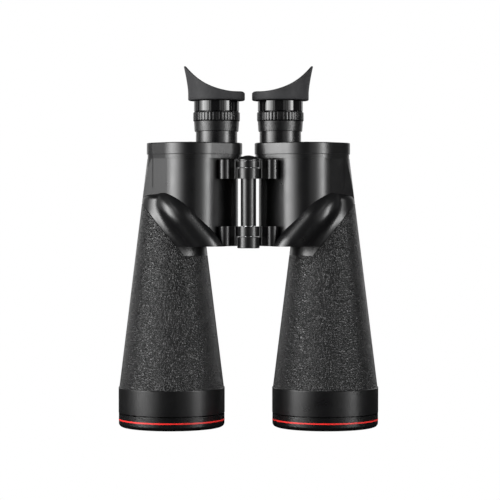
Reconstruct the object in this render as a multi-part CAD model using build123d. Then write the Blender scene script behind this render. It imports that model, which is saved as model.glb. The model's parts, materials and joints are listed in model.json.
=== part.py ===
from build123d import *
import math
import os

os.makedirs("parts", exist_ok=True)

# Large Porro-prism binoculars with individually focused eyepieces, standing on
# their objective rims.  +Z runs along the optical axes from the objectives to
# the eyepieces, X across the two halves, and -Y is the hinge side.  The origin
# is on the rim plane, midway between the halves, in the plane of the optical axes.
# Every piece is drawn for the half on +X; the other half is its mirror image.

# ------------------------------------------------------------ driving dimensions
# Optical layout
OBJECTIVE_X = 69.2          # objective axis from the centre line
EYEPIECE_X = 28.7           # eyepiece axis from the centre line
HINGE_Y = -28.0             # hinge axle, towards the hinge side
CENTRE_X = (OBJECTIVE_X + EYEPIECE_X) / 2

# Heights: each part of the stack stands on the one below it
BEZEL_TOP = 12.0
SLEEVE_TOP = BEZEL_TOP + 23.7
BARREL_LENGTH = 126.8       # from the objective sleeve to the housing's underside
HOUSING_HEIGHT = 78.3       # from the housing's underside to its flange
HOUSING_BOTTOM = SLEEVE_TOP + BARREL_LENGTH
FLANGE_BOTTOM = HOUSING_BOTTOM + HOUSING_HEIGHT
FLANGE_TOP = FLANGE_BOTTOM + 3.5
COVER_TOP = FLANGE_TOP + 10.7

# Clearances
RUNNING = 0.05              # radial clearance of a shaft that turns or slides
GAP = 0.3                   # between faces that move past each other
SEAT_CLEARANCE = 0.1        # radial clearance of a piece in its seat

# Objective end, from the sleeve inwards
SLEEVE_R = 47.8
SLEEVE_WALL = 3.8
BEZEL_R = SLEEVE_R - 0.2
BEZEL_ROUND = 3.4
CAP_SEAT_R = BEZEL_R - 4.1  # front recess that takes the lens cap
CAP_SEAT_DEPTH = 6.0
CELL_R = SLEEVE_R - SLEEVE_WALL - 3.0
CELL_TOP = SLEEVE_TOP + 2.3
SPIGOT_BOTTOM = BEZEL_TOP + 12.0
OBJECTIVE_R = CELL_R - 3.6              # glass
OBJECTIVE_CLEAR_R = OBJECTIVE_R - 2.2   # free opening, 70 mm
RED_RING_Z = 6.1
RED_RING_HEIGHT = 1.3
RED_RING_DEPTH = 1.0
RED_RING_PROUD = 0.1
CROWN_FRONT_Z = BEZEL_TOP + 2.0
CROWN_THICKNESS = 12.0
CROWN_SAG = 3.9
CEMENT_SAG = 4.6
FLINT_THICKNESS = 5.0
CROWN_BACK_Z = CROWN_FRONT_Z + CROWN_THICKNESS
FLINT_TOP = CROWN_BACK_Z + FLINT_THICKNESS

# Housing outline: three circles joined by their outer tangents
OUTER_CORNER_R = 21.6
INNER_CORNER_R = 19.3
APEX_R = 29.7
APEX_X = CENTRE_X + 2.25
APEX_Y = -6.5
HOUSING_WALL = 2.5
LEDGE = 0.9                 # step that carries the prism plate
FLANGE_GROW = 0.9
COVER_GROW_OUTER = 0.6
COVER_GROW_INNER = 3.8
COVER_GROW_APEX = 1.6
COVER_PLATE = 3.0
SEAL_THICKNESS = 0.5
SEAL_INSET = 0.7

# Barrel: a cone about the objective axis that narrows to the housing's outer corner
BARREL_RADIUS = SLEEVE_R - 0.7
BARREL_TOP_RADIUS = OUTER_CORNER_R + 0.1
BARREL_SLOPE = (BARREL_RADIUS - BARREL_TOP_RADIUS) / (FLANGE_BOTTOM - SLEEVE_TOP)
BARREL_WALL = 2.6
COVERING_THICKNESS = 0.9
COVERING_GROOVE = 0.5
COVERING_EDGE_X = OBJECTIVE_X - 12.0    # where the slanted edge meets the level one
COVERING_EDGE_Z = HOUSING_BOTTOM - 7.9

# Shoulder: a slanted rounded collar across the top of the barrel
SHOULDER_TILT = 50.5        # of its axis from upright, leaning inwards, in degrees
SHOULDER_X = OBJECTIVE_X - 9.35
SHOULDER_Z = HOUSING_BOTTOM + 16.6
SHOULDER_R = SLEEVE_R - 11.8
SHOULDER_Y = -5.0
SHOULDER_OUTER = -3.5       # outer end of the collar's plan, along the slope
SHOULDER_INNER = 22.0
SHOULDER_BELOW = 6.0
SHOULDER_ABOVE = 20.0
SHOULDER_TOP_ROUND = 12.5
SHOULDER_LOW_ROUND = 11.0
SHOULDER_BLEND = 11.0       # hollow between the collar and the barrel
SHOULDER_WALL = 3.0
BARREL_RIM_Z = HOUSING_BOTTOM + 46.5
BARREL_RIM_ROUND = 6.5
FLANK_STEP = 0.15           # the outer end lies just inside the housing's flat walls
HOUSING_ABOVE_COLLAR = 3.0  # the housing's walls start inside the collar

# Hinge
AXLE_R = 5.0
TUBE_R = AXLE_R + 1.84
KNUCKLE_R = AXLE_R + 4.9
ARM_UPPER = (FLANGE_BOTTOM - 18.2, FLANGE_BOTTOM - 1.4)
ARM_LOWER = (HOUSING_BOTTOM + 0.8, HOUSING_BOTTOM + 17.8)
KNUCKLE_SPLIT_UPPER = FLANGE_BOTTOM - 9.1
KNUCKLE_SPLIT_LOWER = HOUSING_BOTTOM + 8.2
KNUCKLE_TOP = FLANGE_BOTTOM - 2.7
KNUCKLE_BOTTOM = HOUSING_BOTTOM + 0.5
WASHER = 0.4
WASHER_R = KNUCKLE_R - 1.0
KNUCKLES_RIGHT = ((ARM_UPPER[0], KNUCKLE_SPLIT_UPPER), (KNUCKLE_BOTTOM, KNUCKLE_SPLIT_LOWER))
KNUCKLES_LEFT = (
    (KNUCKLE_SPLIT_UPPER + WASHER + GAP, KNUCKLE_TOP),
    (KNUCKLE_SPLIT_LOWER + WASHER + GAP, ARM_LOWER[1]),
)
AXLE_TOP = KNUCKLE_TOP + 2.9
NUT_TOP = AXLE_TOP - 0.4
DOME_TOP = AXLE_TOP + 2.2
DOME_WALL = 1.4
END_RING = 2.0
TRIPOD_THREAD_R = 3.175     # quarter-inch tripod thread
TRIPOD_THREAD_DEPTH = 12.0
TRIPOD_LEAD_R = 4.4
PAD_X = EYEPIECE_X - 7.7
PAD_Y = HINGE_Y + 2.6
PAD_R = 5.6

# Prisms
BEAM_BACK_Y = -20.16        # the beam between the two prisms, towards the hinge side
BEAM_STEP = math.hypot((OBJECTIVE_X - EYEPIECE_X) / 2, BEAM_BACK_Y)
PRISM_WIDTH = 24.0
PLATE_Z = HOUSING_BOTTOM + SHOULDER_WALL + BEAM_STEP + 8.9
PLATE_THICKNESS = 3.0
CLIP_WIDTH = 7.0
CLIP_THICKNESS = 0.8

# Eyepiece, from the sliding tube outwards and upwards
TUBE_OUTER_R = 16.0
TUBE_BORE_R = TUBE_OUTER_R - 2.4
TUBE_BOTTOM = COVER_TOP - 8.0
FOCUS_TRAVEL = 4.0
GUIDE_R = TUBE_OUTER_R + 2.6
GUIDE_NECK_R = GUIDE_R - 1.2
GUIDE_TOP = COVER_TOP + 20.0
KEY_LOW = COVER_TOP + 1.0
KEY_HIGH = KEY_LOW + 6.0
KEY_WIDTH = 2.0
KEY_FLOOR_R = TUBE_OUTER_R - 1.1
SKIRT_CLEARANCE = 0.3
SCALE_LOW_R = GUIDE_R + 1.1
SCALE_HIGH_R = GUIDE_R + 1.7
SCALE_BOTTOM = COVER_TOP + 10.3
GRIP_R = GUIDE_R + 2.3
GRIP_BOTTOM = SCALE_BOTTOM + 9.0
GRIP_TOP = GRIP_BOTTOM + 8.5
GRIP_RIBS = 40
GRIP_NOTCH = 0.7
RING_R = TUBE_OUTER_R + 4.2
RING_BOTTOM = GRIP_TOP + 0.5
RING_TOP = RING_BOTTOM + 9.5
NECK_R = TUBE_OUTER_R + 1.5
NECK_TOP = RING_TOP + 6.2
GLASS_R = TUBE_BORE_R - SEAT_CLEARANCE
FIELD_LENS_Z = TUBE_BOTTOM + 4.0
SPACER_LOW = FIELD_LENS_Z + 7.0
SPACER_HIGH = RING_BOTTOM + 0.2
EYE_BORE_R = TUBE_BORE_R - 1.0
EYE_LENS_TOP = RING_TOP - 0.2

# Rubber eyecup with a raised temple guard
CUP_R = NECK_R + 8.0
CUP_BOTTOM = RING_TOP + 0.3
CUP_STRAIGHT_TOP = CUP_BOTTOM + 7.8
CUP_TIP_R = CUP_R + 4.0
CUP_TIP_Z = CUP_BOTTOM + 32.9
CUP_WALL = 2.2
CUP_FLOOR = 3.0
CUP_COLLAR = 1.9
CUT_R = 57.9                # sweep of the guard's upper edge
CUT_X = EYEPIECE_X - 17.5
CUT_Z = CUP_BOTTOM + 65.6

# Cover screws
SCREW_HEAD_R = 1.6
SCREW_SHANK_R = 1.0
SCREW_LENGTH = 9.0

SLANT = Vector(-math.sin(math.radians(SHOULDER_TILT)), 0, math.cos(math.radians(SHOULDER_TILT)))
DOWN_SLOPE = Vector(-SLANT.Z, 0, SLANT.X)
SHOULDER_CENTRE = Vector(SHOULDER_X, 0, SHOULDER_Z)
LOW = (Align.CENTER, Align.CENTER, Align.MIN)
HIGH = (Align.CENTER, Align.CENTER, Align.MAX)
BIG = 400.0


# ------------------------------------------------------------ helpers
def barrel_radius(z):
    """Outer radius of the covered barrel at a height."""
    return BARREL_RADIUS - BARREL_SLOPE * (z - SLEEVE_TOP)


def disc(x, y, z0, z1, radius):
    """Upright cylinder between two heights."""
    return Pos(x, y, z0) * Cylinder(radius, z1 - z0, align=LOW)


def tube(x, y, z0, z1, outer, inner):
    """Upright tube between two heights."""
    return disc(x, y, z0, z1, outer) - disc(x, y, z0 - 1, z1 + 1, inner)


def barrel_cone(z0, z1, inset):
    """Solid cone of the barrel, lying an inset below its covering."""
    low = barrel_radius(z0) - inset
    high = barrel_radius(z1) - inset
    return Pos(OBJECTIVE_X, 0, z0) * Cone(low, high, z1 - z0, align=LOW)


def hull(circles):
    """Flat shape round several circles, each given as x, y and radius."""
    edges = []
    for x, y, radius in circles:
        edges += list((Pos(x, y) * Circle(radius)).edges())
    return make_hull(edges)


def outline(grow_outer, grow_inner, grow_apex):
    """Housing outline with each of its three corners grown by an amount."""
    return hull((
        (OBJECTIVE_X, 0, OUTER_CORNER_R + grow_outer),
        (EYEPIECE_X, 0, INNER_CORNER_R + grow_inner),
        (APEX_X, APEX_Y, APEX_R + grow_apex),
    ))


def prismatic(z0, z1, grow):
    """Housing outline grown evenly and raised between two heights."""
    return extrude(Pos(0, 0, z0) * outline(grow, grow, grow), z1 - z0)


def cover_block(z0, z1, grow):
    """Prism cover's outline, grown evenly, raised between two heights."""
    shape = outline(COVER_GROW_OUTER + grow, COVER_GROW_INNER + grow, COVER_GROW_APEX + grow)
    return extrude(Pos(0, 0, z0) * shape, z1 - z0)


def surface_depth(sag, rim_radius, radius):
    """How far a spherical surface has fallen at a radius, for its sag at the rim."""
    if sag == 0:
        return 0
    sphere = (rim_radius ** 2 + sag ** 2) / (2 * abs(sag))
    return math.copysign(sphere - math.sqrt(sphere ** 2 - radius ** 2), sag)


def lens(x, y, radius, front, back, front_sag, back_sag):
    """Lens on an upright axis; a positive sag is a surface that bulges outwards."""
    def surface(vertex, sag, sign):
        middle = vertex + sign * surface_depth(sag, radius, radius / 2)
        rim = vertex + sign * sag
        if sag == 0:
            return Line((0, 0, vertex), (radius, 0, rim)), rim
        return ThreePointArc((0, 0, vertex), (radius / 2, 0, middle), (radius, 0, rim)), rim

    lower, lower_rim = surface(front, front_sag, 1)
    upper, upper_rim = surface(back, back_sag, -1)
    edges = [
        lower,
        Line((radius, 0, lower_rim), (radius, 0, upper_rim)),
        upper,
        Line((0, 0, back), (0, 0, front)),
    ]
    profile = make_face(Wire(edges))
    return Pos(x, y, 0) * revolve(profile, Axis.Z, 360)


def above(z):
    """Everything above a height, for trimming."""
    return Pos(0, 0, z) * Box(BIG, BIG, BIG, align=LOW)


def slanted_level(height):
    """Plane across the shoulder's axis; its X runs down the slope, its Y to the hinge side."""
    return Plane(origin=SHOULDER_CENTRE + SLANT * height, x_dir=DOWN_SLOPE, z_dir=SLANT)


def covered_zone(lowered):
    """Everything below the covering's upper edge: a level plane and a slanted one."""
    level = Pos(0, 0, COVERING_EDGE_Z - lowered) * Box(BIG, BIG, BIG, align=HIGH)
    origin = Vector(COVERING_EDGE_X, 0, COVERING_EDGE_Z) - SLANT * lowered
    plane = Plane(origin=origin, x_dir=DOWN_SLOPE, z_dir=SLANT)
    return level + plane * Box(BIG, BIG, BIG, align=HIGH)


# ------------------------------------------------------------ body casting
def is_hollow_edge(edge):
    """True for the edge where the underside of the collar meets the cone."""
    middle = edge.position_at(0.5)
    outwards = math.hypot(middle.X - OBJECTIVE_X, middle.Y) - barrel_radius(middle.Z)
    height = (middle - SHOULDER_CENTRE).dot(SLANT)
    curved = edge.geom_type in (GeomType.BSPLINE, GeomType.ELLIPSE)
    return curved and abs(outwards) < 0.08 and height < 3


def collar():
    """Slanted block with rounded rims, longer down the slope than across it."""
    plan = hull((
        (SHOULDER_OUTER, -SHOULDER_Y, SHOULDER_R),
        (SHOULDER_INNER, -SHOULDER_Y, SHOULDER_R),
    ))
    along = Axis(origin=SHOULDER_CENTRE, direction=SLANT)
    block = extrude(slanted_level(-SHOULDER_BELOW) * plan, SHOULDER_BELOW + SHOULDER_ABOVE)
    block = fillet(block.faces().sort_by(along)[-1].edges(), SHOULDER_TOP_ROUND)
    return fillet(block.faces().sort_by(along)[0].edges(), SHOULDER_LOW_ROUND)


def barrel_and_shoulder():
    """Barrel cone with a rounded top rim, its slanted collar and the hollow between them."""
    barrel = barrel_cone(SLEEVE_TOP, BARREL_RIM_Z, 0)
    rim = barrel.edges().filter_by(GeomType.CIRCLE).sort_by(Axis.Z)[-1]
    barrel = fillet(rim, BARREL_RIM_ROUND)
    joined = barrel + collar()
    hollows = [edge for edge in joined.edges() if is_hollow_edge(edge)]
    return (fillet(hollows, SHOULDER_BLEND) & above(HOUSING_BOTTOM)) + barrel


def outer_end():
    """Outer end of the housing: the barrel's cone carried on up between two flat flanks."""
    low = BARREL_RIM_Z - BARREL_RIM_ROUND + 1.4
    cone = barrel_cone(low, FLANGE_BOTTOM, 0)
    reach = math.hypot(OBJECTIVE_X - APEX_X, APEX_Y)
    lean = math.atan2(-APEX_Y, OBJECTIVE_X - APEX_X)
    turn = math.acos((OUTER_CORNER_R - APEX_R) / reach)
    for angle in (math.pi + lean + turn, math.pi + lean - turn):
        normal = Vector(math.cos(angle), math.sin(angle), 0)
        start = Vector(OBJECTIVE_X, 0, 0) + normal * (OUTER_CORNER_R - FLANK_STEP)
        flank = Plane(origin=start, z_dir=normal)
        cone = cone - flank * Box(2 * BIG, 2 * BIG, BIG, align=LOW)
    return cone


def casting_cavity():
    """Room inside the casting for the light path and the prisms."""
    inset = COVERING_THICKNESS + BARREL_WALL
    cone = barrel_cone(CELL_TOP + 2, BARREL_RIM_Z - BARREL_RIM_ROUND - 1, inset)
    throat = disc(OBJECTIVE_X, 0, SPIGOT_BOTTOM - 1, CELL_TOP + 3, CELL_R + SEAT_CLEARANCE)
    floor = HOUSING_BOTTOM + SHOULDER_WALL
    lower = prismatic(floor, PLATE_Z, -HOUSING_WALL - LEDGE)
    upper = prismatic(PLATE_Z, FLANGE_TOP + 1, -HOUSING_WALL)
    return cone + throat + lower + upper


def arm_plan(own):
    """Plan of a hinge arm; its own knuckle's levels reach the axle."""
    pad = Pos(PAD_X, PAD_Y) * Circle(PAD_R)
    web = make_face(Polyline([
        (PAD_X - 10.6, HINGE_Y + 2.4), (PAD_X + 3, HINGE_Y + 2.4), (PAD_X + 9, HINGE_Y + 6.5),
        (PAD_X + 1, HINGE_Y + 16.0), (PAD_X - 8, HINGE_Y + 16.4), (PAD_X - 10.6, HINGE_Y + 8.5),
    ], close=True))
    rib = Pos(PAD_X - 9.6, HINGE_Y + 1.0) * RectangleRounded(1.6, 5.0, 0.7)
    plan = pad + web + rib
    if own:
        link = Pos(PAD_X / 2 - 2, HINGE_Y + 3.4) * Rectangle(PAD_X - 4, 6.4)
        plan = plan + Pos(0, HINGE_Y) * Circle(KNUCKLE_R) + link
    return plan


def hinge_arms(levels):
    """Upper and lower arms; levels are the heights of this half's own knuckles."""
    arms = None
    plain = arm_plan(False)
    for low, high in (ARM_UPPER, ARM_LOWER):
        arm = extrude(Pos(0, 0, low) * plain, high - low)
        arms = arm if arms is None else arms + arm
    arms = arms - disc(0, HINGE_Y, 0, BIG, KNUCKLE_R + 2 * GAP)
    reaching = arm_plan(True)
    for low, high in levels:
        arms = arms + extrude(Pos(0, 0, low) * reaching, high - low)
    return arms


def body_casting(levels, bore):
    """Barrel, prism housing, flange, shoulder and hinge arms in one casting."""
    above_collar = slanted_level(HOUSING_ABOVE_COLLAR) * Box(2 * BIG, 2 * BIG, BIG, align=LOW)
    walls = prismatic(HOUSING_BOTTOM, FLANGE_BOTTOM, 0) & above_collar
    shell = barrel_and_shoulder() + walls
    shell = shell + outer_end()
    shell = shell + cover_block(FLANGE_BOTTOM, FLANGE_TOP, FLANGE_GROW - COVER_GROW_APEX)
    shell = shell + disc(OBJECTIVE_X, 0, SPIGOT_BOTTOM, SLEEVE_TOP, SLEEVE_R - SLEEVE_WALL)
    shell = shell + hinge_arms(levels)
    recess = barrel_cone(SLEEVE_TOP - 1, HOUSING_BOTTOM + 60, -2)
    recess = recess - barrel_cone(SLEEVE_TOP - 2, HOUSING_BOTTOM + 62, COVERING_THICKNESS)
    shell = shell - (recess & covered_zone(0) & above(SLEEVE_TOP))
    shell = shell - casting_cavity()
    shell = shell - disc(0, HINGE_Y, 0, BIG, bore)
    for x, y in screw_places():
        shell = shell - disc(x, y, COVER_TOP - SCREW_LENGTH, BIG, SCREW_SHANK_R)
    return shell


def barrel_covering():
    """Pebbled covering that fills the recess round the barrel."""
    top = HOUSING_BOTTOM + 60
    sheet = barrel_cone(SLEEVE_TOP, top, 0) - barrel_cone(SLEEVE_TOP - 1, top + 2, COVERING_THICKNESS)
    return sheet & covered_zone(COVERING_GROOVE)


# ------------------------------------------------------------ objective end
def objective_sleeve():
    """Smooth sleeve round the objective end of the barrel."""
    low = BEZEL_TOP + COVERING_GROOVE
    body = tube(OBJECTIVE_X, 0, low, SLEEVE_TOP, SLEEVE_R, SLEEVE_R - SLEEVE_WALL)
    rims = body.edges().filter_by(GeomType.CIRCLE).sort_by(SortBy.RADIUS)[-2:]
    return fillet(rims, 0.6)


def objective_bezel():
    """Front ring with a rounded rim, a cap seat and a groove for the coloured ring."""
    body = disc(OBJECTIVE_X, 0, 0, BEZEL_TOP, BEZEL_R)
    body = fillet(body.edges().filter_by(GeomType.CIRCLE).sort_by(Axis.Z)[0], BEZEL_ROUND)
    spigot = SLEEVE_R - SLEEVE_WALL
    body = body + disc(OBJECTIVE_X, 0, BEZEL_TOP - 1, SPIGOT_BOTTOM - 1, spigot)
    body = body - disc(OBJECTIVE_X, 0, BEZEL_TOP + 0.2, BIG, CELL_R + SEAT_CLEARANCE)
    body = body - disc(OBJECTIVE_X, 0, -1, CAP_SEAT_DEPTH, CAP_SEAT_R)
    body = body - disc(OBJECTIVE_X, 0, -1, BIG, OBJECTIVE_CLEAR_R + 1)
    return body - red_ring(BEZEL_R + 1)


def red_ring(outer):
    """Coloured ring set in the bezel."""
    top = RED_RING_Z + RED_RING_HEIGHT
    return tube(OBJECTIVE_X, 0, RED_RING_Z, top, outer, BEZEL_R - RED_RING_DEPTH)


def objective_cell():
    """Tube that holds the doublet against a lip at its upper end."""
    low = BEZEL_TOP + 0.2
    body = disc(OBJECTIVE_X, 0, low, CELL_TOP, CELL_R)
    body = body - disc(OBJECTIVE_X, 0, low - 1, FLINT_TOP, OBJECTIVE_R)
    return body - disc(OBJECTIVE_X, 0, low - 1, BIG, OBJECTIVE_CLEAR_R)


def crown_lens():
    """Front element of the objective doublet."""
    return lens(OBJECTIVE_X, 0, OBJECTIVE_R, CROWN_FRONT_Z, CROWN_BACK_Z, CROWN_SAG, CEMENT_SAG)


def flint_lens():
    """Rear element of the objective doublet."""
    return lens(OBJECTIVE_X, 0, OBJECTIVE_R, CROWN_BACK_Z, FLINT_TOP, -CEMENT_SAG, 0)


def lens_retainer():
    """Threaded ring that presses the doublet into its cell."""
    low = BEZEL_TOP + 0.4
    high = CROWN_FRONT_Z + surface_depth(CROWN_SAG, OBJECTIVE_R, OBJECTIVE_CLEAR_R)
    return tube(OBJECTIVE_X, 0, low, high, OBJECTIVE_R, OBJECTIVE_CLEAR_R)


def light_baffles():
    """Thin blackened stops across the barrel that keep stray light off the prisms."""
    stops = []
    for part in (1 / 3, 0.6, 0.87):
        z = SLEEVE_TOP + part * BARREL_LENGTH
        seat = barrel_radius(z) - COVERING_THICKNESS - BARREL_WALL
        low = Pos(OBJECTIVE_X, 0, z) * Cone(seat, seat - BARREL_SLOPE * 1.5, 1.5, align=LOW)
        stops.append(low - disc(OBJECTIVE_X, 0, z - 1, z + 3, seat - 6.0))
    return stops


# ------------------------------------------------------------ prisms
def beam_strip(x):
    """Flat strip with round ends that covers two beams, one of them between the axes."""
    radius = PRISM_WIDTH / 2
    return hull(((x, 0, radius), (CENTRE_X, BEAM_BACK_Y, radius)))


def prism(x, up):
    """Right-angle prism whose long face lies on the plate and spans two beams."""
    face_z = PLATE_Z + PLATE_THICKNESS if up else PLATE_Z
    sign = 1 if up else -1
    half = BEAM_STEP
    middle = Vector((x + CENTRE_X) / 2, BEAM_BACK_Y / 2, face_z)
    along = Vector(CENTRE_X - x, BEAM_BACK_Y, 0).normalized()
    across = Vector(0, 0, sign)
    plane = Plane(origin=middle, x_dir=along, z_dir=along.cross(across))
    corners = [(-half, 0), (half, 0), (1.0, half - 1.0), (-1.0, half - 1.0)]
    profile = make_face(Polyline(corners, close=True))
    wedge = extrude(plane * profile, PRISM_WIDTH, both=True)
    strip = extrude(Pos(0, 0, face_z - BIG / 2) * beam_strip(x), BIG)
    return wedge & strip


def prism_plate():
    """Plate on the casting's ledge, with a seat for a prism on each face."""
    plate = prismatic(PLATE_Z, PLATE_Z + PLATE_THICKNESS, -HOUSING_WALL - SEAT_CLEARANCE)
    for x, y in ((OBJECTIVE_X, 0), (EYEPIECE_X, 0), (CENTRE_X, BEAM_BACK_Y)):
        plate = plate - disc(x, y, 0, BIG, PRISM_WIDTH / 2 - 1.5)
    return plate


def prism_clips():
    """Spring straps that hold each prism down by its apex."""
    clips = []
    for x, up in ((OBJECTIVE_X, True), (EYEPIECE_X, False)):
        sign = 1 if up else -1
        face_z = PLATE_Z + PLATE_THICKNESS if up else PLATE_Z
        apex = BEAM_STEP - 1.0
        along = Vector(CENTRE_X - x, BEAM_BACK_Y, 0).normalized()
        middle = Vector((x + CENTRE_X) / 2, BEAM_BACK_Y / 2, face_z)
        plane = Plane(origin=middle, x_dir=Vector(0, 0, sign).cross(along), z_dir=along)
        half = PRISM_WIDTH / 2 + 0.2
        outer = half + CLIP_THICKNESS
        strap = make_face(Polyline([
            (-outer, 0), (-half, 0), (-half, apex), (half, apex), (half, 0), (outer, 0),
            (outer, apex + CLIP_THICKNESS), (-outer, apex + CLIP_THICKNESS),
        ], close=True))
        clips.append(extrude(plane * strap, CLIP_WIDTH / 2, both=True))
    return clips


# ------------------------------------------------------------ prism cover
def screw_places():
    """Cover screws: one at each corner of the outline and one at the back."""
    inset = 2.9
    turn = math.radians(205)
    reach = INNER_CORNER_R + COVER_GROW_INNER - 2.2
    return (
        (OBJECTIVE_X + OUTER_CORNER_R + COVER_GROW_OUTER - inset - 0.4, 0),
        (APEX_X, APEX_Y - APEX_R - COVER_GROW_APEX + inset + 0.4),
        (APEX_X, APEX_Y + APEX_R + COVER_GROW_APEX - inset - 0.4),
        (EYEPIECE_X + reach * math.cos(turn), reach * math.sin(turn)),
    )


def prism_cover():
    """Screwed lid over the prisms, with the eyepiece guide standing on it."""
    low = FLANGE_TOP + SEAL_THICKNESS
    body = cover_block(low, COVER_TOP, 0)
    rim = body.edges().filter_by_position(Axis.Z, COVER_TOP - 0.01, COVER_TOP + 0.01)
    body = fillet(rim, 1.0)
    body = body - cover_block(low - 1, COVER_TOP - COVER_PLATE, -5.4)
    body = body - disc(EYEPIECE_X, 0, 0, BIG, GUIDE_NECK_R)
    for x, y in screw_places():
        body = body - disc(x, y, 0, BIG, SCREW_SHANK_R + 0.1)
        body = body - disc(x, y, COVER_TOP - 1.2, BIG, SCREW_HEAD_R + 0.1)
    return body


def cover_seal():
    """Thin gasket in the joint under the cover."""
    high = FLANGE_TOP + SEAL_THICKNESS
    body = cover_block(FLANGE_TOP, high, -SEAL_INSET - 0.7) - cover_block(FLANGE_TOP - 1, high + 1, -5.2)
    for x, y in screw_places():
        body = body - disc(x, y, 0, BIG, SCREW_SHANK_R + 0.1)
    return body


def cover_screws():
    """Slotted screws of the prism cover."""
    screws = []
    for x, y in screw_places():
        head = disc(x, y, COVER_TOP - 1.2, COVER_TOP + 0.1, SCREW_HEAD_R)
        head = head - Pos(x, y, COVER_TOP) * Box(4 * SCREW_HEAD_R, 0.5, 1.2)
        screws.append(head + disc(x, y, COVER_TOP - SCREW_LENGTH, COVER_TOP - 1, SCREW_SHANK_R))
    return screws


# ------------------------------------------------------------ eyepiece
def radial_block(inner, outer, width, z0, z1):
    """Block beside the eyepiece axis on the +Y side, for keys and keyways."""
    depth = outer - inner
    return Pos(EYEPIECE_X, inner + depth / 2, z0) * Box(width, depth, z1 - z0, align=LOW)


def eyepiece_guide():
    """Fixed sleeve on the cover in which the eyepiece slides."""
    body = disc(EYEPIECE_X, 0, COVER_TOP, GUIDE_TOP, GUIDE_R)
    body = body + disc(EYEPIECE_X, 0, COVER_TOP - 5, COVER_TOP + 1, GUIDE_NECK_R)
    body = body - disc(EYEPIECE_X, 0, 0, BIG, TUBE_OUTER_R + RUNNING)
    return body - guide_key()


def guide_key():
    """Key that keeps the eyepiece from turning while it slides."""
    return radial_block(KEY_FLOOR_R, GUIDE_NECK_R - 0.2, KEY_WIDTH, KEY_LOW, KEY_HIGH)


def eyepiece_tube():
    """Sliding tube with the eyepiece's lenses in it and a keyway in its wall."""
    body = tube(EYEPIECE_X, 0, TUBE_BOTTOM, RING_TOP, TUBE_OUTER_R, TUBE_BORE_R)
    travel = FOCUS_TRAVEL + GAP
    low = KEY_LOW - travel
    high = KEY_HIGH + travel
    slot = radial_block(KEY_FLOOR_R - 0.2, TUBE_OUTER_R + 1, KEY_WIDTH + 0.4, low, high)
    return body - slot


def scale_ring():
    """Ring with the dioptre scale, a skirt over the guide."""
    inner = GUIDE_R + SKIRT_CLEARANCE
    height = GRIP_BOTTOM - SCALE_BOTTOM
    body = Pos(EYEPIECE_X, 0, SCALE_BOTTOM) * Cone(SCALE_LOW_R, SCALE_HIGH_R, height, align=LOW)
    body = body - disc(EYEPIECE_X, 0, 0, BIG, inner)
    low_rims = body.edges().filter_by(GeomType.CIRCLE).sort_by(Axis.Z)[:2]
    return chamfer(low_rims.sort_by(SortBy.RADIUS)[-1], 0.4)


def focus_grip():
    """Ribbed ring that is turned to focus."""
    body = disc(EYEPIECE_X, 0, GRIP_BOTTOM, GRIP_TOP, GRIP_R)
    rims = body.edges().filter_by(GeomType.CIRCLE)
    body = chamfer(rims, 0.5)
    body = body - disc(EYEPIECE_X, 0, 0, GUIDE_TOP + FOCUS_TRAVEL + 2 * GAP, GUIDE_R + SKIRT_CLEARANCE)
    body = body - disc(EYEPIECE_X, 0, 0, BIG, TUBE_OUTER_R + RUNNING)
    pitch = 2 * math.pi / GRIP_RIBS
    notches = []
    for i in range(GRIP_RIBS):
        x = EYEPIECE_X + (GRIP_R + 0.25) * math.cos(i * pitch)
        y = (GRIP_R + 0.25) * math.sin(i * pitch)
        notches.append(disc(x, y, GRIP_BOTTOM - 1, GRIP_TOP - 1.6, GRIP_NOTCH))
    return body - notches


def eyepiece_ring():
    """Polished ring that closes the tube and carries the eyecup."""
    body = disc(EYEPIECE_X, 0, RING_BOTTOM, RING_TOP, RING_R)
    body = chamfer(body.edges().filter_by(GeomType.CIRCLE), 0.4)
    body = body + disc(EYEPIECE_X, 0, RING_TOP - 1, NECK_TOP, NECK_R)
    body = body - disc(EYEPIECE_X, 0, 0, RING_TOP, TUBE_OUTER_R)
    depth = NECK_TOP - RING_TOP + 0.5
    bore = Pos(EYEPIECE_X, 0, RING_TOP) * Cone(EYE_BORE_R, EYE_BORE_R + 2, depth, align=LOW)
    return body - bore - disc(EYEPIECE_X, 0, 0, BIG, EYE_BORE_R)


def field_lens():
    """Field lens at the lower end of the eyepiece tube."""
    return lens(EYEPIECE_X, 0, GLASS_R, FIELD_LENS_Z, SPACER_LOW, 2.0, 0)


def lens_spacer():
    """Spacer between the field lens and the eye lens."""
    return tube(EYEPIECE_X, 0, SPACER_LOW, SPACER_HIGH, GLASS_R, GLASS_R - 1.5)


def eye_lens():
    """Eye lens under the ring at the top."""
    return lens(EYEPIECE_X, 0, GLASS_R, SPACER_HIGH, EYE_LENS_TOP, 0, 2.2)


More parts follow.
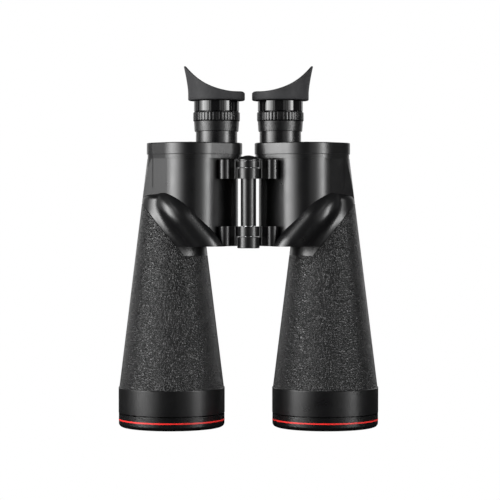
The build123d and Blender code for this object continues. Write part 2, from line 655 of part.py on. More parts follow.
def eyecup():
    """Rubber eyecup whose wall rises into a guard on the temple side."""
    inner = NECK_R + RUNNING
    straight = CUP_STRAIGHT_TOP - 1
    lining = CUP_R - CUP_WALL
    middle = (straight + CUP_TIP_Z) / 2
    flare = CUP_TIP_R - CUP_R
    base = Polyline([
        (lining, 0, straight),
        (lining, 0, CUP_BOTTOM + CUP_FLOOR),
        (inner + CUP_COLLAR, 0, CUP_BOTTOM + CUP_FLOOR),
        (inner + CUP_COLLAR, 0, NECK_TOP - 0.3),
        (inner, 0, NECK_TOP - 0.3),
        (inner, 0, CUP_BOTTOM),
        (CUP_R - 1.0, 0, CUP_BOTTOM),
        (CUP_R, 0, CUP_BOTTOM + 1.0),
        (CUP_R, 0, straight),
    ])
    outside = ThreePointArc((CUP_R, 0, straight), (CUP_R + flare / 4, 0, middle), (CUP_TIP_R, 0, CUP_TIP_Z))
    tip = Line((CUP_TIP_R, 0, CUP_TIP_Z), (CUP_TIP_R - CUP_WALL, 0, CUP_TIP_Z))
    inside = ThreePointArc(
        (CUP_TIP_R - CUP_WALL, 0, CUP_TIP_Z), (lining + flare / 4, 0, middle), (lining, 0, straight)
    )
    profile = make_face(list(base.edges()) + [outside, tip, inside])
    wall = Pos(EYEPIECE_X, 0, 0) * revolve(profile, Axis.Z, 360)
    sweep = Pos(CUT_X, 0, CUT_Z) * Rot(90, 0, 0) * Cylinder(CUT_R, BIG)
    return wall - sweep


# ------------------------------------------------------------ hinge
def hinge_axle():
    """Axle fixed in the right half, with the tripod thread in its lower end."""
    body = disc(0, HINGE_Y, KNUCKLE_BOTTOM, AXLE_TOP, AXLE_R)
    return body - disc(0, HINGE_Y, 0, KNUCKLE_BOTTOM + TRIPOD_THREAD_DEPTH, TRIPOD_THREAD_R)


def hinge_tube():
    """Spacer tube round the axle between the upper and lower arms."""
    return tube(0, HINGE_Y, ARM_LOWER[1] + GAP, ARM_UPPER[0], TUBE_R, AXLE_R)


def hinge_washers():
    """Friction washers between the knuckles of the two halves."""
    washers = []
    for level in (KNUCKLE_SPLIT_UPPER, KNUCKLE_SPLIT_LOWER):
        washers.append(tube(0, HINGE_Y, level, level + WASHER, WASHER_R, AXLE_R))
    return washers


def tension_nut():
    """Round nut on the axle's top that sets the stiffness of the hinge."""
    low = KNUCKLE_TOP + GAP
    body = tube(0, HINGE_Y, low, NUT_TOP, KNUCKLE_R - DOME_WALL, AXLE_R)
    return body - Pos(0, HINGE_Y, NUT_TOP) * Box(2 * KNUCKLE_R, 2.0, 2.2)


def hinge_dome():
    """Domed cap over the tension nut with a raised centre."""
    low = KNUCKLE_TOP + GAP
    button = 5.2
    bulge = 1.0
    rise = DOME_TOP - bulge
    crown = DOME_TOP - surface_depth(bulge, button, button / 2)
    body = make_face([
        Line((0, 0, low), (KNUCKLE_R, 0, low)),
        Line((KNUCKLE_R, 0, low), (KNUCKLE_R, 0, low + 1.2)),
        ThreePointArc((KNUCKLE_R, 0, low + 1.2), (8.1, 0, low + 3.1), (button, 0, rise)),
        ThreePointArc((button, 0, rise), (button / 2, 0, crown), (0, 0, DOME_TOP)),
        Line((0, 0, DOME_TOP), (0, 0, low)),
    ])
    body = Pos(0, HINGE_Y, 0) * revolve(body, Axis.Z, 360)
    body = body - disc(0, HINGE_Y, low - 1, NUT_TOP, KNUCKLE_R - DOME_WALL)
    return body - disc(0, HINGE_Y, low - 1, AXLE_TOP + 0.2, AXLE_R + RUNNING)


def hinge_end_ring():
    """Ring that closes the lower knuckle and leads a tripod screw to its thread."""
    low = KNUCKLE_BOTTOM - END_RING
    body = tube(0, HINGE_Y, low, KNUCKLE_BOTTOM, KNUCKLE_R, TRIPOD_LEAD_R)
    low_rims = body.edges().filter_by(GeomType.CIRCLE).sort_by(Axis.Z)[:2]
    return chamfer(low_rims.sort_by(SortBy.RADIUS)[-1], 0.5)


# ------------------------------------------------------------ all pieces
def half_pieces():
    """Every piece of one half apart from its casting, drawn on the +X side."""
    return {
        "barrel_covering": barrel_covering(),
        "objective_sleeve": objective_sleeve(),
        "objective_bezel": objective_bezel(),
        "red_ring": red_ring(BEZEL_R + RED_RING_PROUD),
        "objective_cell": objective_cell(),
        "crown_lens": crown_lens(),
        "flint_lens": flint_lens(),
        "lens_retainer": lens_retainer(),
        "light_baffles": light_baffles(),
        "prism_plate": prism_plate(),
        "rear_prism": prism(OBJECTIVE_X, True),
        "front_prism": prism(EYEPIECE_X, False),
        "prism_clips": prism_clips(),
        "prism_cover": prism_cover(),
        "cover_seal": cover_seal(),
        "cover_screws": cover_screws(),
        "eyepiece_guide": eyepiece_guide(),
        "guide_key": guide_key(),
        "eyepiece_tube": eyepiece_tube(),
        "scale_ring": scale_ring(),
        "focus_grip": focus_grip(),
        "eyepiece_ring": eyepiece_ring(),
        "field_lens": field_lens(),
        "lens_spacer": lens_spacer(),
        "eye_lens": eye_lens(),
        "eyecup": eyecup(),
    }


def as_compound(shape):
    """One exportable shape from a solid or a list of solids."""
    if isinstance(shape, (list, tuple, ShapeList)):
        solids = []
        for item in shape:
            solids += list(item.solids())
        return Compound(solids)
    return shape


def save(name, shape):
    """Write one node."""
    export_step(as_compound(shape), "parts/" + name + ".step")


save("right_body_casting", body_casting(KNUCKLES_RIGHT, AXLE_R))
save("left_body_casting", mirror(body_casting(KNUCKLES_LEFT, AXLE_R + RUNNING), about=Plane.YZ))
for piece_name, piece in half_pieces().items():
    whole = as_compound(piece)
    save("right_" + piece_name, whole)
    save("left_" + piece_name, mirror(whole, about=Plane.YZ))
save("hinge_axle", hinge_axle())
save("hinge_tube", hinge_tube())
save("hinge_washers", hinge_washers())
save("tension_nut", tension_nut())
save("hinge_dome", hinge_dome())
save("hinge_end_ring", hinge_end_ring())
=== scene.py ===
# %% [markdown]
# # Large binoculars, standing on their objective rims
#
# The binoculars arrive as a finished mechanical frame: every casting, ring,
# lens and screw is already in its place, in metres, with +Z up and the hinge
# towards -Y. This lesson dresses that frame. It models again the pieces whose
# form a machine drawing leaves too plain, gives every surface its finish, and
# lights the whole as a studio would light a black, glossy product.

import bmesh
import bpy
import json
import math
from mathutils import Matrix, Vector


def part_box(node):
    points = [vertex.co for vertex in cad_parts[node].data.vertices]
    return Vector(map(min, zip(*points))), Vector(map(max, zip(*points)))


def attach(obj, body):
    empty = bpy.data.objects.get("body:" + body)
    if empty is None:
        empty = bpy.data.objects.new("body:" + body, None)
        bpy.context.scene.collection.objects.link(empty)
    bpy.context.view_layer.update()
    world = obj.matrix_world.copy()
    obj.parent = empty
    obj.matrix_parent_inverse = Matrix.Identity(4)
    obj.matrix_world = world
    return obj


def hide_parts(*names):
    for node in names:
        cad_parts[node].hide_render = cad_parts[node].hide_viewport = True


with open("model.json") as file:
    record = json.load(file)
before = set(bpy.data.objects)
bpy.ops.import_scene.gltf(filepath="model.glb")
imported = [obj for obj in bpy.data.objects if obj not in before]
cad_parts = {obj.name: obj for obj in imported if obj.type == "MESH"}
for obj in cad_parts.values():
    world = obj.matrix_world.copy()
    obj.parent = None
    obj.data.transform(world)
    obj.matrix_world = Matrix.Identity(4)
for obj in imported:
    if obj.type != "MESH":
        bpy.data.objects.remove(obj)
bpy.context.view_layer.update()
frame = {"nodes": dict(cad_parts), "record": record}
nodes = frame["nodes"]

# %% [markdown]
# ## Where things are
#
# Both halves are mirror images, so most pieces are made once per side. The two
# axes that matter are the objective's and the eyepiece's. They are read from
# the frame, from the middle of a ring that is centred on each.

# %% Axes and heights from the frame
SIDES = ("right", "left")


def middle(node):
    """Centre of a CAD node's box."""
    low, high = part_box(node)
    return (low + high) / 2


def span(node):
    """Lowest and highest height of a CAD node."""
    low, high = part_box(node)
    return low.z, high.z


def reach(node):
    """Outer radius of a round CAD node that stands upright."""
    low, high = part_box(node)
    return (high.y - low.y) / 2


objective_axis = {side: middle(side + "_objective_sleeve") for side in SIDES}
eyepiece_axis = {side: middle(side + "_eyepiece_ring") for side in SIDES}
hinge_axis = middle("hinge_tube")
outwards = {"right": 1.0, "left": -1.0}
print("objective axes", [round(objective_axis[s].x, 4) for s in SIDES])
print("eyepiece axes", [round(eyepiece_axis[s].x, 4) for s in SIDES])

# %% [markdown]
# ## Shader helpers
#
# Every finish is a Principled BSDF with patterns fed into it. A pattern that
# several finishes share is a node group with named inputs, built once. The
# patterns read Object coordinates, which here are the real positions in
# metres, so a scale of 1000 means one feature for each millimetre.

# %% Small helpers for node trees
def add_node(tree, kind, **values):
    """Add a node and set its properties or its input sockets by name."""
    node = tree.nodes.new(kind)
    for name, value in values.items():
        if hasattr(node, name):
            setattr(node, name, value)
        else:
            node.inputs[name.replace("_", " ")].default_value = value
    return node


def start_group(name, inputs, outputs):
    """A new shader group; inputs are (name, default) pairs."""
    tree = bpy.data.node_groups.new(name, "ShaderNodeTree")
    for label, default in inputs:
        socket = tree.interface.new_socket(label, in_out="INPUT", socket_type="NodeSocketFloat")
        socket.default_value = default
    for label in outputs:
        tree.interface.new_socket(label, in_out="OUTPUT", socket_type="NodeSocketFloat")
    return tree, tree.nodes.new("NodeGroupInput"), tree.nodes.new("NodeGroupOutput")


def math_node(tree, operation, first, second=None, third=None):
    """A Math node whose inputs are sockets or numbers; returns its output socket."""
    node = tree.nodes.new("ShaderNodeMath")
    node.operation = operation
    for index, value in enumerate((first, second, third)):
        if value is None:
            continue
        if isinstance(value, (int, float)):
            node.inputs[index].default_value = value
        else:
            tree.links.new(value, node.inputs[index])
    return node.outputs[0]


# %% [markdown]
# ### Uneven finish
#
# No painted or moulded surface is perfectly even: polish, handling and the
# thickness of the coat vary by a few percent. A slow noise, spread between two
# values, gives roughness that drifts over the surface.

# %% Group: uneven value
def make_uneven_group():
    inputs = [("Scale", 60.0), ("Low", 0.3), ("High", 0.36)]
    tree, given, result = start_group("Uneven value", inputs, ["Value"])
    place = tree.nodes.new("ShaderNodeTexCoord")
    noise = add_node(tree, "ShaderNodeTexNoise", Detail=3.0, Roughness=0.6)
    spread = add_node(tree, "ShaderNodeMapRange", From_Min=0.3, From_Max=0.7)
    tree.links.new(place.outputs["Object"], noise.inputs["Vector"])
    tree.links.new(given.outputs["Scale"], noise.inputs["Scale"])
    tree.links.new(noise.outputs["Fac"], spread.inputs["Value"])
    tree.links.new(given.outputs["Low"], spread.inputs["To Min"])
    tree.links.new(given.outputs["High"], spread.inputs["To Max"])
    tree.links.new(spread.outputs["Result"], result.inputs["Value"])
    return tree


# %% [markdown]
# ### Fine texture
#
# Enamel has a faint orange peel, sand-cast and bead-blasted metal a fine
# grain, rubber a soft tooth. All three are the same noise at different sizes.

# %% Group: fine texture
def make_texture_group():
    tree, given, result = start_group("Fine texture", [("Scale", 900.0), ("Depth", 1.0)], ["Height"])
    place = tree.nodes.new("ShaderNodeTexCoord")
    noise = add_node(tree, "ShaderNodeTexNoise", Detail=2.0, Roughness=0.5)
    tree.links.new(place.outputs["Object"], noise.inputs["Vector"])
    tree.links.new(given.outputs["Scale"], noise.inputs["Scale"])
    height = math_node(tree, "MULTIPLY", noise.outputs["Fac"], given.outputs["Depth"])
    tree.links.new(height, result.inputs["Height"])
    return tree


# %% [markdown]
# ### Turned lines
#
# A ring cut on a lathe keeps a fine spiral of tool marks. They run round the
# axis, so their height depends only on Z: a sine of Z, whose depth a noise
# makes uneven from turn to turn.

# %% Group: turned lines
def make_turned_group():
    inputs = [("Lines per metre", 3200.0), ("Depth", 1.0)]
    tree, given, result = start_group("Turned lines", inputs, ["Height"])
    place = tree.nodes.new("ShaderNodeTexCoord")
    parts = tree.nodes.new("ShaderNodeSeparateXYZ")
    tree.links.new(place.outputs["Object"], parts.inputs["Vector"])
    turns = math_node(tree, "MULTIPLY", parts.outputs["Z"], given.outputs["Lines per metre"])
    wave = math_node(tree, "SINE", math_node(tree, "MULTIPLY", turns, 2 * math.pi))
    drift = add_node(tree, "ShaderNodeTexNoise", noise_dimensions="1D", Scale=0.37, Detail=2.0)
    tree.links.new(turns, drift.inputs["W"])
    uneven = math_node(tree, "MULTIPLY", wave, drift.outputs["Fac"])
    height = math_node(tree, "MULTIPLY", uneven, given.outputs["Depth"])
    tree.links.new(height, result.inputs["Height"])
    return tree


# %% [markdown]
# ### Pebble grain
#
# The barrels wear a rubberised leathercloth with a pressed pebble grain: small
# irregular cushions, a millimetre or so across, with creases between them.
# Voronoi cells give the cushions and the distance to their edge the creases;
# a noise that shifts the coordinates keeps them from looking like a mosaic.

# %% Group: pebble grain
def make_pebble_group():
    inputs = [("Scale", 560.0), ("Crease", 0.3)]
    tree, given, result = start_group("Pebble grain", inputs, ["Height", "Crease shade mask"])
    place = tree.nodes.new("ShaderNodeTexCoord")
    shift = add_node(tree, "ShaderNodeTexNoise", Scale=420.0, Detail=2.0)
    amount = add_node(tree, "ShaderNodeVectorMath", operation="SCALE", Scale=0.0016)
    moved = add_node(tree, "ShaderNodeVectorMath", operation="ADD")
    cells = add_node(tree, "ShaderNodeTexVoronoi", feature="DISTANCE_TO_EDGE", Randomness=1.0)
    tree.links.new(place.outputs["Object"], shift.inputs["Vector"])
    tree.links.new(shift.outputs["Color"], amount.inputs[0])
    tree.links.new(place.outputs["Object"], moved.inputs[0])
    tree.links.new(amount.outputs["Vector"], moved.inputs[1])
    tree.links.new(moved.outputs["Vector"], cells.inputs["Vector"])
    tree.links.new(given.outputs["Scale"], cells.inputs["Scale"])
    cushion = add_node(tree, "ShaderNodeMapRange", interpolation_type="SMOOTHSTEP", From_Min=0.0)
    tree.links.new(cells.outputs["Distance"], cushion.inputs["Value"])
    tree.links.new(given.outputs["Crease"], cushion.inputs["From Max"])
    fine = add_node(tree, "ShaderNodeTexNoise", Scale=2600.0, Detail=2.0)
    tree.links.new(place.outputs["Object"], fine.inputs["Vector"])
    height = math_node(tree, "MULTIPLY_ADD", fine.outputs["Fac"], 0.25, cushion.outputs["Result"])
    # painted shade: this mask darkens the creases in the covering's colour
    crease = math_node(tree, "SUBTRACT", 1.0, cushion.outputs["Result"])
    tree.links.new(height, result.inputs["Height"])
    tree.links.new(crease, result.inputs["Crease shade mask"])
    return tree


# %% [markdown]
# ### Dust in the light
#
# Even a new black product carries a little dust where it settles, on surfaces
# that face up. The mask is the upward part of the normal times a fine noise.

# %% Group: settled dust
def make_dust_group():
    tree, given, result = start_group("Settled dust", [("Amount", 0.3), ("Scale", 1500.0)], ["Mask"])
    place = tree.nodes.new("ShaderNodeTexCoord")
    shape = tree.nodes.new("ShaderNodeNewGeometry")
    parts = tree.nodes.new("ShaderNodeSeparateXYZ")
    tree.links.new(shape.outputs["True Normal"], parts.inputs["Vector"])
    upwards = add_node(tree, "ShaderNodeMapRange", From_Min=0.3, From_Max=1.0)
    tree.links.new(parts.outputs["Z"], upwards.inputs["Value"])
    specks = add_node(tree, "ShaderNodeTexNoise", Detail=4.0, Roughness=0.7)
    tree.links.new(place.outputs["Object"], specks.inputs["Vector"])
    tree.links.new(given.outputs["Scale"], specks.inputs["Scale"])
    sharp = add_node(tree, "ShaderNodeMapRange", From_Min=0.52, From_Max=0.75)
    tree.links.new(specks.outputs["Fac"], sharp.inputs["Value"])
    mask = math_node(tree, "MULTIPLY", upwards.outputs["Result"], sharp.outputs["Result"])
    mask = math_node(tree, "MULTIPLY", mask, given.outputs["Amount"])
    tree.links.new(mask, result.inputs["Mask"])
    return tree


UNEVEN = make_uneven_group()
TEXTURE = make_texture_group()
TURNED = make_turned_group()
PEBBLE = make_pebble_group()
DUST = make_dust_group()
print("shader groups:", [group.name for group in (UNEVEN, TEXTURE, TURNED, PEBBLE, DUST)])


# %% A finish, its patterns and its bump
def place_group(tree, group, **values):
    """Put a shader group in a material with its own values."""
    node = tree.nodes.new("ShaderNodeGroup")
    node.node_tree = group
    for name, value in values.items():
        node.inputs[name.replace("_", " ")].default_value = value
    return node


def start_finish(name, **constants):
    """A material with a Principled BSDF; constants are set on its sockets."""
    material = bpy.data.materials.new(name)
    material.use_nodes = True
    tree = material.node_tree
    shader = tree.nodes["Principled BSDF"]
    for label, value in constants.items():
        shader.inputs[label.replace("_", " ")].default_value = value
    return material, tree, shader


def vary_roughness(tree, shader, low, high, scale=60.0):
    """Let the roughness drift between two values."""
    group = place_group(tree, UNEVEN, Scale=scale, Low=low, High=high)
    tree.links.new(group.outputs["Value"], shader.inputs["Roughness"])


def vary_colour(tree, shader, mask, dark, light):
    """Blend two colours by a mask into the base colour."""
    blend = tree.nodes.new("ShaderNodeMix")
    blend.data_type = "RGBA"
    blend.inputs["A"].default_value = (*dark, 1)
    blend.inputs["B"].default_value = (*light, 1)
    tree.links.new(mask, blend.inputs["Factor"])
    tree.links.new(blend.outputs["Result"], shader.inputs["Base Color"])


def add_bump(tree, shader, height, strength, distance):
    """Feed a height in metres times distance into the shader's normal."""
    bump = add_node(tree, "ShaderNodeBump", Strength=strength, Distance=distance)
    tree.links.new(height, bump.inputs["Height"])
    tree.links.new(bump.outputs["Normal"], shader.inputs["Normal"])


# %% [markdown]
# ## The finishes
#
# Black is never one black. The castings wear a semi-gloss enamel, the turned
# rings a satin anodising, the ring under the eyecup a mirror polish, and the
# eyecups a grey, matt rubber. They differ mostly in roughness, which is what
# the strip lights draw along every curve.

# %% Enamel and anodised metal
BLACK = (0.0035, 0.0035, 0.0038)
DUST_GREY = (0.02, 0.02, 0.019)


def enamel():
    """Semi-gloss enamel of the castings and covers."""
    material, tree, shader = start_finish("black enamel", Base_Color=(*BLACK, 1))
    vary_roughness(tree, shader, 0.27, 0.33)
    dust = place_group(tree, DUST, Amount=0.5)
    vary_colour(tree, shader, dust.outputs["Mask"], BLACK, DUST_GREY)
    peel = place_group(tree, TEXTURE, Scale=700.0)
    add_bump(tree, shader, peel.outputs["Height"], 0.5, 0.00001)
    return material


def turned_metal():
    """Anodised rings that keep their lathe lines."""
    material, tree, shader = start_finish("turned black", Base_Color=(*BLACK, 1))
    vary_roughness(tree, shader, 0.22, 0.3)
    dust = place_group(tree, DUST, Amount=0.4)
    vary_colour(tree, shader, dust.outputs["Mask"], BLACK, DUST_GREY)
    lines = place_group(tree, TURNED)
    add_bump(tree, shader, lines.outputs["Height"], 1.0, 0.000006)
    return material


def polished_black():
    """Mirror-polished ring under the eyecup."""
    material, tree, shader = start_finish("polished black", Base_Color=(*BLACK, 1))
    vary_roughness(tree, shader, 0.06, 0.1, 120.0)
    dust = place_group(tree, DUST, Amount=0.3)
    vary_colour(tree, shader, dust.outputs["Mask"], BLACK, DUST_GREY)
    return material


def grained_metal():
    """Bead-blasted ring that carries the scale."""
    material, tree, shader = start_finish("grained black", Base_Color=(*BLACK, 1))
    vary_roughness(tree, shader, 0.26, 0.36, 400.0)
    grain = place_group(tree, TEXTURE, Scale=2600.0)
    add_bump(tree, shader, grain.outputs["Height"], 0.8, 0.00008)
    return material


# %% [markdown]
# ### Covering, rubber, enamel line and glass
#
# The covering's creases are coloured darker than its cushions: painted shade.
# Its roughness drifts at random. The rubber's colour is light enough to show its
# shape without any highlight. The red line is the one colour on the object.

# %% Soft and coloured finishes
def pebbled_covering():
    """Pressed leathercloth on the barrels."""
    material, tree, shader = start_finish("pebbled covering")
    grain = place_group(tree, PEBBLE)
    # painted shade: the creases are coloured darker than the cushions
    vary_colour(tree, shader, grain.outputs["Crease shade mask"], (0.011, 0.011, 0.0115), (0.003, 0.003, 0.003))
    vary_roughness(tree, shader, 0.27, 0.36, 200.0)
    add_bump(tree, shader, grain.outputs["Height"], 1.0, 0.0005)
    return material


def cup_rubber():
    """Matt grey rubber of the eyecups."""
    material, tree, shader = start_finish("eyecup rubber", Specular_IOR_Level=0.3)
    tone = place_group(tree, UNEVEN, Scale=90.0, Low=0.0, High=1.0)
    vary_colour(tree, shader, tone.outputs["Value"], (0.024, 0.024, 0.0255), (0.032, 0.032, 0.0335))
    vary_roughness(tree, shader, 0.62, 0.74, 150.0)
    tooth = place_group(tree, TEXTURE, Scale=1800.0)
    add_bump(tree, shader, tooth.outputs["Height"], 0.6, 0.00005)
    return material


def red_line():
    """Bright red enamel of the ring in the bezel."""
    material, tree, shader = start_finish("red enamel")
    tone = place_group(tree, UNEVEN, Scale=150.0, Low=0.0, High=1.0)
    vary_colour(tree, shader, tone.outputs["Value"], (0.75, 0.022, 0.018), (0.83, 0.03, 0.025))
    vary_roughness(tree, shader, 0.3, 0.4)
    return material


def blackened():
    """Matt blackened inner surfaces."""
    material, tree, shader = start_finish("matt blackened")
    tone = place_group(tree, UNEVEN, Scale=200.0, Low=0.0, High=1.0)
    vary_colour(tree, shader, tone.outputs["Value"], (0.003, 0.003, 0.003), (0.006, 0.006, 0.006))
    vary_roughness(tree, shader, 0.6, 0.75)
    return material


def bare_metal(name, colour, low, high):
    """Machined metal of a given colour, with fine turned lines."""
    material, tree, shader = start_finish(name, Metallic=1.0)
    tone = place_group(tree, UNEVEN, Scale=120.0, Low=0.0, High=1.0)
    shade = tuple(0.85 * part for part in colour)
    vary_colour(tree, shader, tone.outputs["Value"], shade, colour)
    vary_roughness(tree, shader, low, high, 200.0)
    lines = place_group(tree, TURNED, Lines_per_metre=4000.0)
    add_bump(tree, shader, lines.outputs["Height"], 1.0, 0.000004)
    return material


def glass(name, colour, tint):
    """Optical glass; a coating tints its reflection."""
    material, tree, shader = start_finish(name, IOR=1.52, Transmission_Weight=1.0)
    tone = place_group(tree, UNEVEN, Scale=40.0, Low=0.0, High=1.0)
    vary_colour(tree, shader, tone.outputs["Value"], colour, tint)
    vary_roughness(tree, shader, 0.0, 0.015)
    return material


# %% Hand every node its finish
FINISH = {
    "black_paint": enamel(),
    "turned_black": turned_metal(),
    "gloss_black": polished_black(),
    "grained_black": grained_metal(),
    "ribbed_black": turned_metal(),
    "inner_black": blackened(),
    "pebbled_covering": pebbled_covering(),
    "cup_rubber": cup_rubber(),
    "seal_rubber": blackened(),
    "red_enamel": red_line(),
    "coated_glass": glass("coated glass", (0.72, 0.9, 0.78), (0.62, 0.86, 0.72)),
    "clear_glass": glass("clear glass", (0.96, 0.98, 0.97), (0.92, 0.96, 0.95)),
    "spring_steel": bare_metal("spring steel", (0.55, 0.55, 0.57), 0.25, 0.35),
    "axle_steel": bare_metal("axle steel", (0.5, 0.5, 0.52), 0.2, 0.3),
    "plain_alloy": bare_metal("plain alloy", (0.75, 0.75, 0.77), 0.3, 0.4),
    "plain_brass": bare_metal("plain brass", (0.78, 0.6, 0.3), 0.25, 0.35),
    "black_screw": turned_metal(),
    "washer_black": blackened(),
}
slot_of = {part["node"]: part["material_slot"] for part in frame["record"]["subparts"]}
for name, piece in nodes.items():
    piece.data.materials.clear()
    piece.data.materials.append(FINISH[slot_of[name]])
print("finishes:", len(FINISH))

# %% [markdown]
# ## Pieces modelled again
#
# Two kinds of piece need more than the frame's plain shapes: the soft eyecups,
# whose rims are rounded all the way round, and the focus grips, whose ribs catch
# the light one by one. Each starts as a profile that is spun about its axis.

# %% Spinning a profile
def spun_piece(name, profile, steps):
    """A closed ring spun from a closed profile of (radius, height) points about an upright axis."""
    shape = bmesh.new()
    corners = [shape.verts.new((radius, 0, height)) for radius, height in profile]
    edges = [shape.edges.new((a, b)) for a, b in zip(corners, corners[1:] + corners[:1])]
    bmesh.ops.spin(
        shape, geom=corners + edges, axis=(0, 0, 1), cent=(0, 0, 0),
        angle=2 * math.pi, steps=steps, use_merge=True,
    )
    bmesh.ops.recalc_face_normals(shape, faces=shape.faces)
    mesh = bpy.data.meshes.new(name)
    piece = bpy.data.objects.new(name, mesh)
    bpy.context.scene.collection.objects.link(piece)
    return piece, shape


def settle(piece, shape, axis, body, node, sharp):
    """Move a spun shape onto its axis and hand it to the frame in place of a CAD node."""
    bmesh.ops.translate(shape, vec=(axis.x, axis.y, 0), verts=shape.verts)
    shape.to_mesh(piece.data)
    shape.free()
    piece.data.shade_smooth()
    piece.data.set_sharp_from_angle(angle=math.radians(sharp))
    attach(piece, body)
    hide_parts(node)
    piece.data.materials.append(FINISH[slot_of[node]])
    return piece


def soft_step(value):
    """0 to 1 with no corner at either end."""
    value = min(1.0, max(0.0, value))
    return value * value * (3 - 2 * value)


# %% [markdown]
# ### Eyecups
#
# The wall rises from a round foot into a guard at the temple. Its upper edge is
# a sweep of one large radius. The profile is spun with its wall one unit high,
# and each column of points is then drawn out to the sweep above it, so the
# rounded lip follows the edge and keeps its thickness.

# %% Eyecups
SWEEP_RADIUS = 0.0579
SWEEP_ASIDE = -0.0175       # from the eyepiece axis, towards the nose
CUP_WALL = 0.0022
CUP_FLARE = 0.004
EDGE_FLARE = 0.00345        # how far the sweep's edge follows the flare
LIP = 0.0011
CUP_RADIUS = 0.0255
CUP_BORE = 0.01755
SWEEP_RISE = 0.0656         # centre of the sweep above the foot
WALL_START = 0.0066         # above the foot, where the wall starts to lean out
WALL_ROWS = 14
LIP_STEPS = 8


def make_eyecup(side):
    """Rubber cup with a raised temple guard and a rounded lip."""
    node = side + "_eyecup"
    foot, tip = span(node)
    axis = eyepiece_axis[side]
    sweep_height = foot + SWEEP_RISE
    outer, neck = CUP_RADIUS, CUP_BORE
    low = foot + WALL_START
    profile = [(neck, foot), (outer - 0.0009, foot), (outer - 0.0003, foot + 0.0003), (outer, foot + 0.0009)]
    profile += [(outer, foot + 0.0009 + part * 0.0057) for part in (0.5, 1.0)]
    profile += [(outer, 1 + row / WALL_ROWS) for row in range(1, WALL_ROWS + 1)]
    for step in range(1, LIP_STEPS):
        turn = math.pi * step / LIP_STEPS
        profile.append((outer - LIP + LIP * math.cos(turn), 3 + math.sin(turn)))
    profile += [(outer - CUP_WALL, 2 - row / WALL_ROWS) for row in range(0, WALL_ROWS)]
    profile += [(outer - CUP_WALL, low), (outer - CUP_WALL, foot + 0.0036)]
    profile += [(outer - CUP_WALL - 0.0006, foot + 0.003), (neck + 0.0019, foot + 0.003)]
    profile += [(neck + 0.0019, foot + 0.0056), (neck + 0.0016, foot + 0.0059), (neck, foot + 0.0059)]
    piece, shape = spun_piece("visual_" + node, profile, 128)
    for point in shape.verts:
        height = point.co.z
        if height < 1:
            continue
        radius = math.hypot(point.co.x, point.co.y)
        across = point.co.x / radius * outwards[side]
        x = across * (outer + EDGE_FLARE * max(0.0, across) ** 2) - SWEEP_ASIDE
        edge = sweep_height - math.sqrt(SWEEP_RADIUS ** 2 - x * x) - LIP
        if height > 2.5:
            rise = 1.0
            level = edge + (height - 3) * LIP
        else:
            rise = height - 1
            level = low + rise * (edge - low)
        climb = (level - low) / (tip - low)
        flare = CUP_FLARE * max(0.0, climb) ** 1.4
        below = edge + LIP - level
        inward = soft_step(-across * 1.2 - 0.1) * 0.0022
        corner = max(0.0, 1 - below / 0.0034)
        tuck = inward * (1 - math.sqrt(max(0.0, 1 - corner * corner)))
        grown = radius + flare - tuck
        point.co.x *= grown / radius
        point.co.y *= grown / radius
        point.co.z = level
    return settle(piece, shape, axis, side + "_eyeguard", node, 50)


for side in SIDES:
    cup = make_eyecup(side)
    print(cup.name, len(cup.data.polygons), "faces")

# %% [markdown]
# ### Focus grips
#
# Broad flat ribs with narrow grooves between them. The ring is spun with ten
# columns of faces to a rib, and the columns at a groove are drawn inwards.

# %% Focus grips
RIBS = 38
RIB_STEPS = 10
GROOVE_DEPTH = 0.0008
GRIP_BORE = 0.0163
GRIP_SKIRT = 0.0189


def make_grip(side):
    """Ribbed ring that is turned to focus."""
    node = side + "_focus_grip"
    low, high = span(node)
    axis = eyepiece_axis[side]
    outer = reach(node) + 0.00005
    profile = [(GRIP_BORE, high), (GRIP_BORE, low + 0.0054), (GRIP_SKIRT, low + 0.0054), (GRIP_SKIRT, low)]
    profile += [(outer - 0.0014, low), (outer - 0.0006, low + 0.0001), (outer - 0.0001, low + 0.0006)]
    profile += [(outer, low + 0.0012), (outer, (low + high) / 2), (outer, high - 0.0012)]
    profile += [(outer - 0.0001, high - 0.0006), (outer - 0.0006, high - 0.0001), (outer - 0.0014, high)]
    piece, shape = spun_piece("visual_" + node, profile, RIBS * RIB_STEPS)
    for point in shape.verts:
        radius = math.hypot(point.co.x, point.co.y)
        if radius < outer - 0.001:
            continue
        turn = math.atan2(point.co.y, point.co.x) / (2 * math.pi) * RIBS
        off_centre = abs(turn - round(turn)) * 2
        groove = soft_step((off_centre - 0.55) / 0.3)
        crown = 0.00012 * off_centre ** 2
        drawn = radius - groove * GROOVE_DEPTH - crown
        point.co.x *= drawn / radius
        point.co.y *= drawn / radius
    return settle(piece, shape, axis, side + "_focus_ring", node, 40)


for side in SIDES:
    grip = make_grip(side)
    print(grip.name, len(grip.data.polygons), "faces")

# %% [markdown]
# ## Studio
#
# A glossy black object shows its shape only through what it reflects. Two tall
# softboxes stand at either side, far enough round that a wall turned about
# thirty degrees from the camera mirrors them, and nothing bright stands behind
# the camera, so the faces turned to it stay black. Each softbox is a row of
# narrow uniform panels whose strengths rise and fall across it.

# %% Floor and backdrop
FLOOR_SIZE = 12.0


def pale_stage(name, camera_tone, other_tone):
    """Stage material: a pale tone for the camera and a darker one in reflections."""
    material = bpy.data.materials.new(name)
    material.use_nodes = True
    tree = material.node_tree
    tree.nodes.clear()
    seen = tree.nodes.new("ShaderNodeLightPath")
    lit = add_node(tree, "ShaderNodeEmission", Color=(camera_tone,) * 3 + (1,))
    dull = add_node(tree, "ShaderNodeBsdfDiffuse", Color=(other_tone,) * 3 + (1,))
    blend = tree.nodes.new("ShaderNodeMixShader")
    out = tree.nodes.new("ShaderNodeOutputMaterial")
    tree.links.new(seen.outputs["Is Camera Ray"], blend.inputs[0])
    tree.links.new(dull.outputs[0], blend.inputs[1])
    tree.links.new(lit.outputs[0], blend.inputs[2])
    tree.links.new(blend.outputs[0], out.inputs["Surface"])
    return material


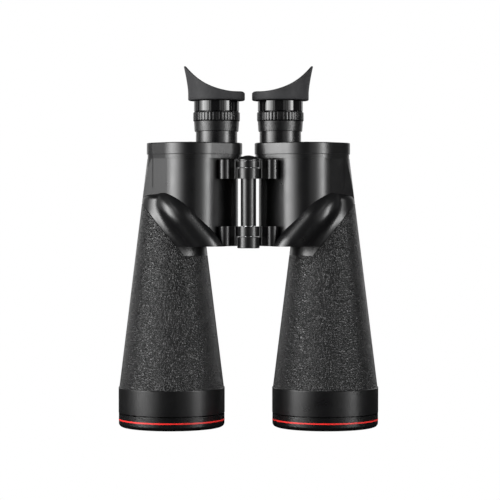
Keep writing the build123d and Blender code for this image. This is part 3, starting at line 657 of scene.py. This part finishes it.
def make_floor():
    """Large pale floor at the height of the objective rims."""
    mesh = bpy.data.meshes.new("floor")
    shape = bmesh.new()
    bmesh.ops.create_grid(shape, x_segments=1, y_segments=1, size=FLOOR_SIZE / 2)
    shape.to_mesh(mesh)
    shape.free()
    floor = bpy.data.objects.new("floor", mesh)
    bpy.context.scene.collection.objects.link(floor)
    mesh.materials.append(pale_stage("pale floor", 1.0, 0.03))
    return floor


make_floor()

# %% Softboxes
SOFTBOX_DISTANCE = 1.5
SOFTBOX_HEIGHT = 1.8
STUDIO_CENTRE = Vector((0, 0, 0.16))


def softbox(name, azimuth, width, strength):
    """Tall area light that faces the object; azimuth 0 is the camera's side."""
    angle = math.radians(azimuth)
    place = STUDIO_CENTRE + Vector((math.sin(angle), -math.cos(angle), 0)) * SOFTBOX_DISTANCE
    light = bpy.data.lights.new(name, "AREA")
    light.shape = "RECTANGLE"
    light.size = 2 * SOFTBOX_DISTANCE * math.tan(math.radians(width / 2))
    light.size_y = SOFTBOX_HEIGHT
    light.energy = strength * light.size * light.size_y * math.pi
    lamp = bpy.data.objects.new(name, light)
    lamp.location = place
    lamp.rotation_euler = (STUDIO_CENTRE - place).to_track_quat("-Z", "Y").to_euler()
    lamp.visible_camera = False
    bpy.context.scene.collection.objects.link(lamp)
    return lamp


LEFT_PROFILE = ((-34, 1.5), (-46, 6.0), (-58, 11.0), (-70, 14.0), (-82, 5.4), (-94, 1.4), (-118, 0.6))
RIGHT_PROFILE = ((20, 0.7), (32, 0.9), (44, 2.5), (54, 8.0), (63, 13.5), (118, 0.2))
for azimuth, strength in LEFT_PROFILE:
    softbox("softbox left", azimuth, 12, strength)
for azimuth, strength in RIGHT_PROFILE:
    softbox("softbox right", azimuth, 10, strength)
for azimuth in (-148, 148):
    softbox("softbox behind", azimuth, 24, 1.0)

# %% World
world = bpy.data.worlds.new("studio")
bpy.context.scene.world = world
world.use_nodes = True
tree = world.node_tree
tree.nodes.clear()
seen = tree.nodes.new("ShaderNodeLightPath")
pale = add_node(tree, "ShaderNodeBackground", Color=(1, 1, 1, 1), Strength=1.0)
dim = add_node(tree, "ShaderNodeBackground", Color=(1, 1, 1, 1), Strength=0.06)
blend = tree.nodes.new("ShaderNodeMixShader")
out = tree.nodes.new("ShaderNodeOutputWorld")
tree.links.new(seen.outputs["Is Camera Ray"], blend.inputs[0])
tree.links.new(dim.outputs[0], blend.inputs[1])
tree.links.new(pale.outputs[0], blend.inputs[2])
tree.links.new(blend.outputs[0], out.inputs["Surface"])
bpy.context.scene.view_settings.view_transform = "Standard"

# %% [markdown]
# ## Camera
#
# A long lens from almost two metres keeps the two barrels nearly parallel. It
# stands level with the middle of the prism housings and looks very slightly
# down, which opens the ellipses of the rims.

# %% Camera
CAMERA_DISTANCE = 1.786
CAMERA_HEIGHT = 0.1956
CAMERA_ASIDE = 0.0014
CAMERA_TILT = 1.18
LENS = 142.8

camera_data = bpy.data.cameras.new("camera")
camera_data.lens = LENS
camera_data.sensor_width = 36.0
camera = bpy.data.objects.new("camera", camera_data)
camera.location = (CAMERA_ASIDE, -CAMERA_DISTANCE, CAMERA_HEIGHT)
camera.rotation_euler = (math.radians(90 - CAMERA_TILT), 0, 0)
bpy.context.scene.collection.objects.link(camera)
bpy.context.scene.camera = camera
